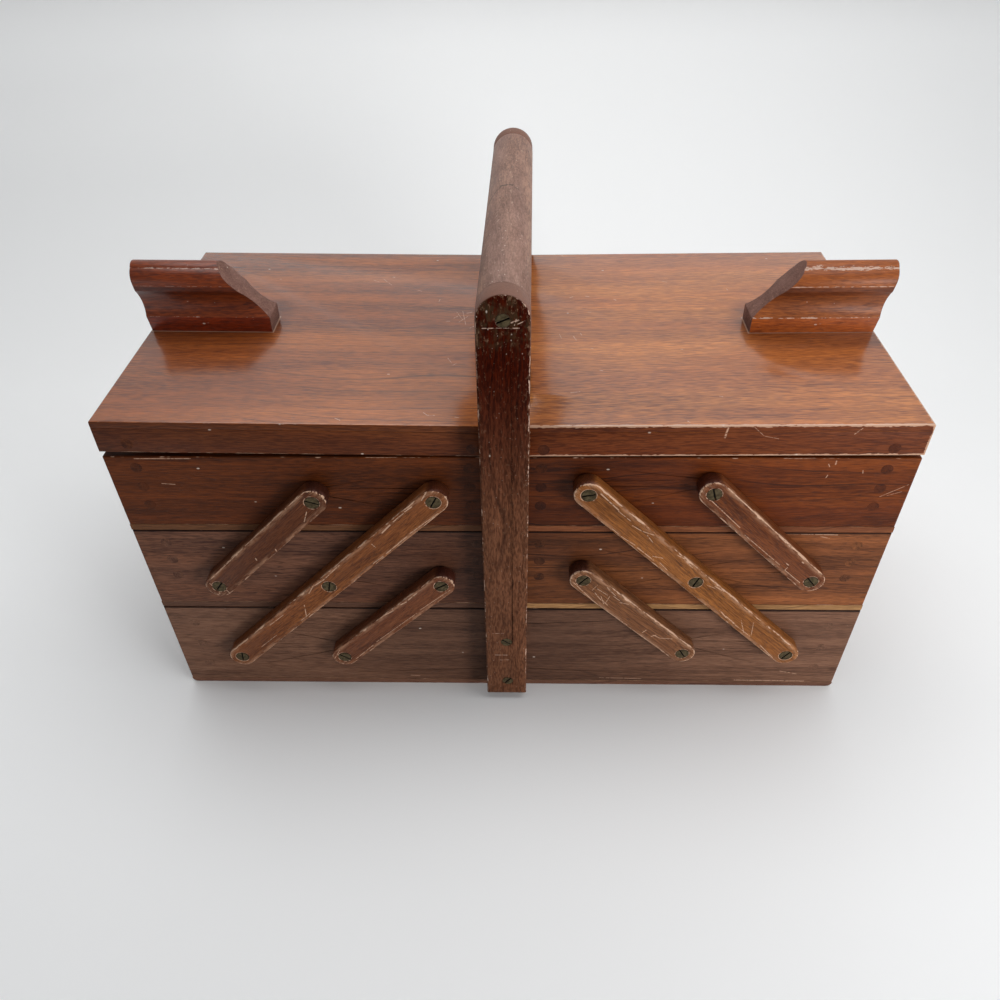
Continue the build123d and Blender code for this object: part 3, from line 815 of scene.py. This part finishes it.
# Plywood bottoms: the edge of each that shows at the front, and its sheets inside
bottoms = {
    "edgeLines": (60.0, 0.9, 0.9), "rough": 0.6, "specular": 0.15, "depth": 0.00005,
    "inside": {
        "dark": (0.200, 0.105, 0.045), "light": (0.360, 0.210, 0.100), "glow": (0.420, 0.240, 0.110),
    },
    "left_top_bottom": {
        "dark": (0.080, 0.030, 0.012), "light": (0.160, 0.062, 0.024), "glow": (0.180, 0.072, 0.026),
    },
    "left_mid_bottom": {
        "dark": (0.060, 0.026, 0.016), "light": (0.130, 0.060, 0.036), "glow": (0.150, 0.068, 0.038),
    },
    "right_top_bottom": {
        "dark": (0.110, 0.030, 0.012), "light": (0.240, 0.078, 0.028), "glow": (0.290, 0.100, 0.034),
    },
    "right_mid_bottom": {
        "dark": (0.190, 0.088, 0.032), "light": (0.440, 0.230, 0.092), "glow": (0.500, 0.270, 0.110),
    },
    "base_bottom": {
        "dark": (0.090, 0.038, 0.023), "light": (0.190, 0.086, 0.052), "glow": (0.215, 0.098, 0.060),
    },
}


def makeBottoms():
    for node in [n for n in frame["nodes"] if n.endswith("_bottom")]:
        finish = Finish(camel(node) + "Plywood")
        local = finish.local(middle=middleOf(node)[0])
        sheet, height = woodColour(finish, local, look(bottoms["inside"]))
        edge = woodColour(finish, local, look(bottoms[node], lineSize=bottoms["edgeLines"]))[0]
        flat = finish.step(abs(finish.facing()[2]), 0.5, 0.8)
        paint(node, finish.close({"Base Color": finish.blend(flat, edge, sheet),
                                  "Roughness": bottoms["rough"], "Specular IOR Level": bottoms["specular"],
                                  "Normal": finish.bump(height, bottoms["depth"])}))
    print("plywood bottoms finished")


# Screws and hinges
metals = {
    # gap is the near black of the painted shade in the screw slots
    "dull": (0.040, 0.028, 0.013), "bright": (0.100, 0.074, 0.038), "gap": (0.010, 0.008, 0.006),
    "hingeDull": (0.20, 0.14, 0.06), "hingeBright": (0.42, 0.30, 0.13), "tarnishSize": (1.6, 1.6, 1.6),
    "rough": 0.45, "metallic": 0.2, "specular": 0.1, "depth": 0.00003,
    "headPlanes": (113.05, 116.25), "within": 0.08, "screwRounding": 0.00015, "hingeRounding": 0.0002,
}


def metalFinish(name, dull, bright):
    finish = Finish(name)
    tarnish = finish.noise(finish.local(), metals["tarnishSize"], 3.0)
    return finish.close({"Base Color": finish.blend(finish.step(tarnish, 0.3, 0.7), dull, bright),
                         "Roughness": tarnish * 0.3 + metals["rough"], "Metallic": metals["metallic"],
                         "Specular IOR Level": metals["specular"],
                         "Normal": finish.bump(tarnish, metals["depth"])})


def onHead(face):
    # the flat top of a screw's head, not the slot's floor or walls
    gaps = [abs(abs(face.center.y) * millimetres - plane) for plane in metals["headPlanes"]]
    return abs(face.normal.y) > 0.7 and min(gaps) < metals["within"]


def makeMetal():
    brass = metalFinish("screwBrass", metals["dull"], metals["bright"])
    # painted shade: the slots and the sides of each head are painted near black
    dark = metalFinish("screwGap", metals["gap"], metals["gap"])
    hinge = metalFinish("hingeBrass", metals["hingeDull"], metals["hingeBright"])
    for node in frame["nodes"]:
        if node.endswith("_screws"):
            piece = mergedCopy(node, metals["screwRounding"], segments=1)
            seat(piece, node, "screw_brass", brass, dark)
            for face in piece.data.polygons:
                face.material_index = 0 if onHead(face) else 1
        elif node.endswith("_leaves"):
            seat(mergedCopy(node, metals["hingeRounding"]), node, "hinge_brass", hinge)
    print("screws and hinges finished")


# Dowels: the glued pegs that hold the boards to the end boards
def rowsOf(columns, heights):
    return [(x, z) for x in columns for z in heights]


dowels = {
    "radius": 0.0032, "proud": 0.00006, "depth": 0.0012, "crown": 0.0009, "sides": 20,
    "trayFace": 0.10335, "baseFace": 0.10375,
    "places": {
        "left_top_tray": rowsOf((-198.8, -20.6), (184.5, 171.5, 158.5)),
        "right_top_tray": rowsOf((198.8, 17.8), (184.5, 171.5, 158.5)),
        "left_mid_tray": rowsOf((-198.0, -18.0), (129.3, 115.7, 102.9)),
        "right_mid_tray": rowsOf((198.0, 18.0), (129.3, 115.7, 102.9)),
        "base": rowsOf((-199.0, 199.0), (60.0, 40.0, 20.0)),
        "left_lid": [(-199.0, 200.2), (-18.6, 197.3)], "right_lid": [(198.7, 198.2), (18.6, 196.9)],
    },
    "shades": {
        "left_top_tray": 0.78, "right_top_tray": 0.62, "left_mid_tray": 0.85, "right_mid_tray": 0.68,
        "base": 0.9, "left_lid": 0.8, "right_lid": 0.6,
    },
    "wood": {
        "bandSize": (5.0, 5.0, 5.0), "lineSize": (1.6, 1.6, 1.6), "fleckSize": (0.6, 0.6, 0.6),
        "veins": 0.0, "dust": 0.0, "shares": (0.5, 0.25, 0.25),
    },
}


def pegShape():
    # one short peg along y, its end towards -y slightly domed
    deselect()
    bpy.ops.mesh.primitive_cylinder_add(vertices=dowels["sides"], radius=dowels["radius"],
                                        depth=dowels["depth"], rotation=(math.pi / 2, 0, 0))
    peg = bpy.context.object
    bpy.ops.object.transform_apply(location=True, rotation=True, scale=True)
    bpy.ops.object.mode_set(mode="EDIT")
    bpy.ops.mesh.select_all(action="DESELECT")
    bpy.ops.object.mode_set(mode="OBJECT")
    for face in peg.data.polygons:
        face.select = face.normal.y < -0.9
    bpy.ops.object.mode_set(mode="EDIT")
    bpy.ops.mesh.select_mode(type="FACE")
    bpy.ops.mesh.inset(thickness=dowels["crown"])
    bpy.ops.transform.translate(value=(0, -dowels["proud"] / 2, 0))
    bpy.ops.object.mode_set(mode="OBJECT")
    shape = peg.data.copy()
    bpy.data.objects.remove(peg)
    return shape


def pegPiece(body, shape):
    # a body's pegs, in its front and its back, joined as one piece
    made = []
    out = dowels["baseFace"] if body == "base" else dowels["trayFace"]
    for x, z in dowels["places"][body]:
        for side, turn in ((-1, 0), (1, math.pi)):
            copy = bpy.data.objects.new(camel(body) + "Dowels", shape.copy())
            bpy.context.scene.collection.objects.link(copy)
            copy.rotation_euler = (0, 0, turn)
            y = side * (out + dowels["proud"] / 2 - dowels["depth"] / 2)
            copy.location = (x / millimetres, y, z / millimetres)
            made.append(copy)
    deselect()
    for copy in made:
        copy.select_set(True)
    bpy.context.view_layer.objects.active = made[0]
    bpy.ops.object.join()
    bpy.ops.object.transform_apply(location=True, rotation=True, scale=True)
    return bpy.context.object


def pegFinish(body):
    # end grain, in a darker shade of the wood round it
    if body.endswith("lid"):
        side = startOf(body, 1)
        # the lid pegs sit in the lid's front and back, so they take its painted shade
        colours, front, inner = look(lids["both"], lids[side]), lids["frontTint"][side], 0.0
    else:
        box = "base" if body == "base" else startOf(body, 2)
        colours, front, inner = look(boards[box]), (1.0, 1.0, 1.0), boards["inner"][box]
    shade = dowels["shades"][body]
    darker = {}
    for key in ("dark", "light", "glow"):
        darker[key] = tuple(part * shade * tint for part, tint in zip(colours[key], front))
    finish = Finish(camel(body) + "DowelWood")
    local = finish.local()
    # the pegs take the same painted shade towards the posts as their boards
    tints = [(innerShade(finish, finish.split(local)[0], inner), boards["innerTint"], "MULTIPLY")]
    return woodFinish(finish, local, look(dowels["wood"], darker), 0.0, tints=tints)


def makeDowels():
    shape = pegShape()
    for body in dowels["places"]:
        piece = pegPiece(body, shape)
        piece.data.materials.append(pegFinish(body))
        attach(piece, body)
    print("dowels finished")


makeBoards()
makeLids()
makeArms()
makeHandle()
makePulls()
makeBottoms()
makeMetal()
makeDowels()

# Floor and backdrop, in metres, with the places where their colour changes in millimetres
studio = {
    "near": (0.880, 0.886, 0.888), "far": (0.900, 0.906, 0.904),
    "wall": (0.71, 0.71, 0.71), "upper": (0.92, 0.92, 0.92),
    "farAt": (-450.0, 450.0), "foldAt": (220.0, 340.0), "upperAt": (480.0, 800.0),
    "floorMiddle": -1.0, "wallAt": 0.75, "fold": 0.5, "wallHeight": 2.2, "width": 6.0,
    "rough": 0.7, "specular": 0.2, "world": 0.20, "sky": (0.93, 0.96, 1.0),
}


def pickEdges(mesh, wanted):
    # in edit mode, selects the edges that have both their ends where wanted says
    bpy.ops.mesh.select_all(action="DESELECT")
    bpy.ops.object.mode_set(mode="OBJECT")
    for edge in mesh.edges:
        edge.select = all(wanted(mesh.vertices[i].co) for i in edge.vertices)
    bpy.ops.object.mode_set(mode="EDIT")


def makeSweep():
    deselect()
    bpy.ops.mesh.primitive_plane_add(size=1, location=(0, studio["floorMiddle"], 0))
    sweep = bpy.context.object
    sweep.name = "studioSweep"
    sweep.scale = (studio["width"], 2 * (studio["wallAt"] - studio["floorMiddle"]), 1)
    bpy.ops.object.transform_apply(location=True, rotation=True, scale=True)
    bpy.ops.object.mode_set(mode="EDIT")
    bpy.ops.mesh.select_mode(type="EDGE")
    pickEdges(sweep.data, lambda at: at.y > 0.5)
    bpy.ops.mesh.extrude_region_move(TRANSFORM_OT_translate={"value": (0, 0, studio["wallHeight"])})
    pickEdges(sweep.data, lambda at: at.y > 0.5 and at.z < 0.1)
    bpy.ops.mesh.bevel(offset=studio["fold"], segments=24)
    bpy.ops.object.mode_set(mode="OBJECT")
    bpy.ops.object.shade_smooth()
    paper = Finish("studioPaper")
    x, y, z = paper.split(paper.local())
    colour = paper.blend(paper.step(y, *studio["farAt"]), studio["near"], studio["far"])
    colour = paper.blend(paper.step(z, *studio["foldAt"]), colour, studio["wall"])
    colour = paper.blend(paper.step(z, *studio["upperAt"]), colour, studio["upper"])
    sweep.data.materials.append(paper.close({"Base Color": colour, "Roughness": studio["rough"],
                                             "Specular IOR Level": studio["specular"]}))


# Lamps
lamps = {
    "overheadLamp": {
        "place": (0.15, 0.16, 1.5), "aim": (0.10, 0.04, 0.0), "size": (2.2, 1.0), "power": 19,
        "spread": 180,
    },
    "rightLamp": {
        "place": (0.85, -0.85, 0.26), "aim": (0.12, -0.06, 0.12), "size": (0.45, 0.35), "power": 1.35,
        "spread": 70,
    },
    "leftLamp": {
        "place": (-0.70, -0.60, 0.20), "aim": (-0.1, -0.10, 0.08), "size": (0.40, 0.20), "power": 0.12,
        "spread": 120,
    },
}


def makeLamps():
    for name, lamp in lamps.items():
        deselect()
        bpy.ops.object.light_add(type="AREA", location=lamp["place"])
        light = bpy.context.object
        light.name = name
        light.data.shape = "RECTANGLE"
        light.data.size, light.data.size_y = lamp["size"]
        light.data.energy = lamp["power"]
        light.data.spread = math.radians(lamp["spread"])
        aim = Vector(lamp["aim"]) - Vector(lamp["place"])
        light.rotation_euler = aim.to_track_quat("-Z", "Y").to_euler()
    world = bpy.data.worlds.new("studioWorld")
    bpy.context.scene.world = world
    world.use_nodes = True
    background = world.node_tree.nodes["Background"].inputs
    background["Color"].default_value = (*studio["sky"], 1)
    background["Strength"].default_value = studio["world"]


# Camera
camera = {
    "place": (0.0055, -0.44345, 0.4536), "yaw": 1.67, "pitch": 40.54, "roll": -0.9, "lens": 29.465,
    "sensor": 36, "clip": (0.01, 20),
}


def makeCamera():
    yaw, pitch, roll = (math.radians(camera[key]) for key in ("yaw", "pitch", "roll"))
    ahead = Vector((-math.sin(yaw) * math.cos(pitch), math.cos(yaw) * math.cos(pitch), -math.sin(pitch)))
    across = Vector((math.cos(yaw), math.sin(yaw), 0))
    over = across.cross(ahead)
    right = math.cos(roll) * across + math.sin(roll) * over
    up = math.cos(roll) * over - math.sin(roll) * across
    deselect()
    bpy.ops.object.camera_add(location=camera["place"])
    eye = bpy.context.object
    eye.rotation_euler = Matrix((right, up, -ahead)).transposed().to_euler()
    eye.data.lens = camera["lens"]
    eye.data.sensor_width = camera["sensor"]
    eye.data.clip_start, eye.data.clip_end = camera["clip"]
    bpy.context.scene.camera = eye


makeSweep()
makeLamps()
makeCamera()
bpy.context.scene.view_settings.view_transform = "Standard"
print("studio finished")
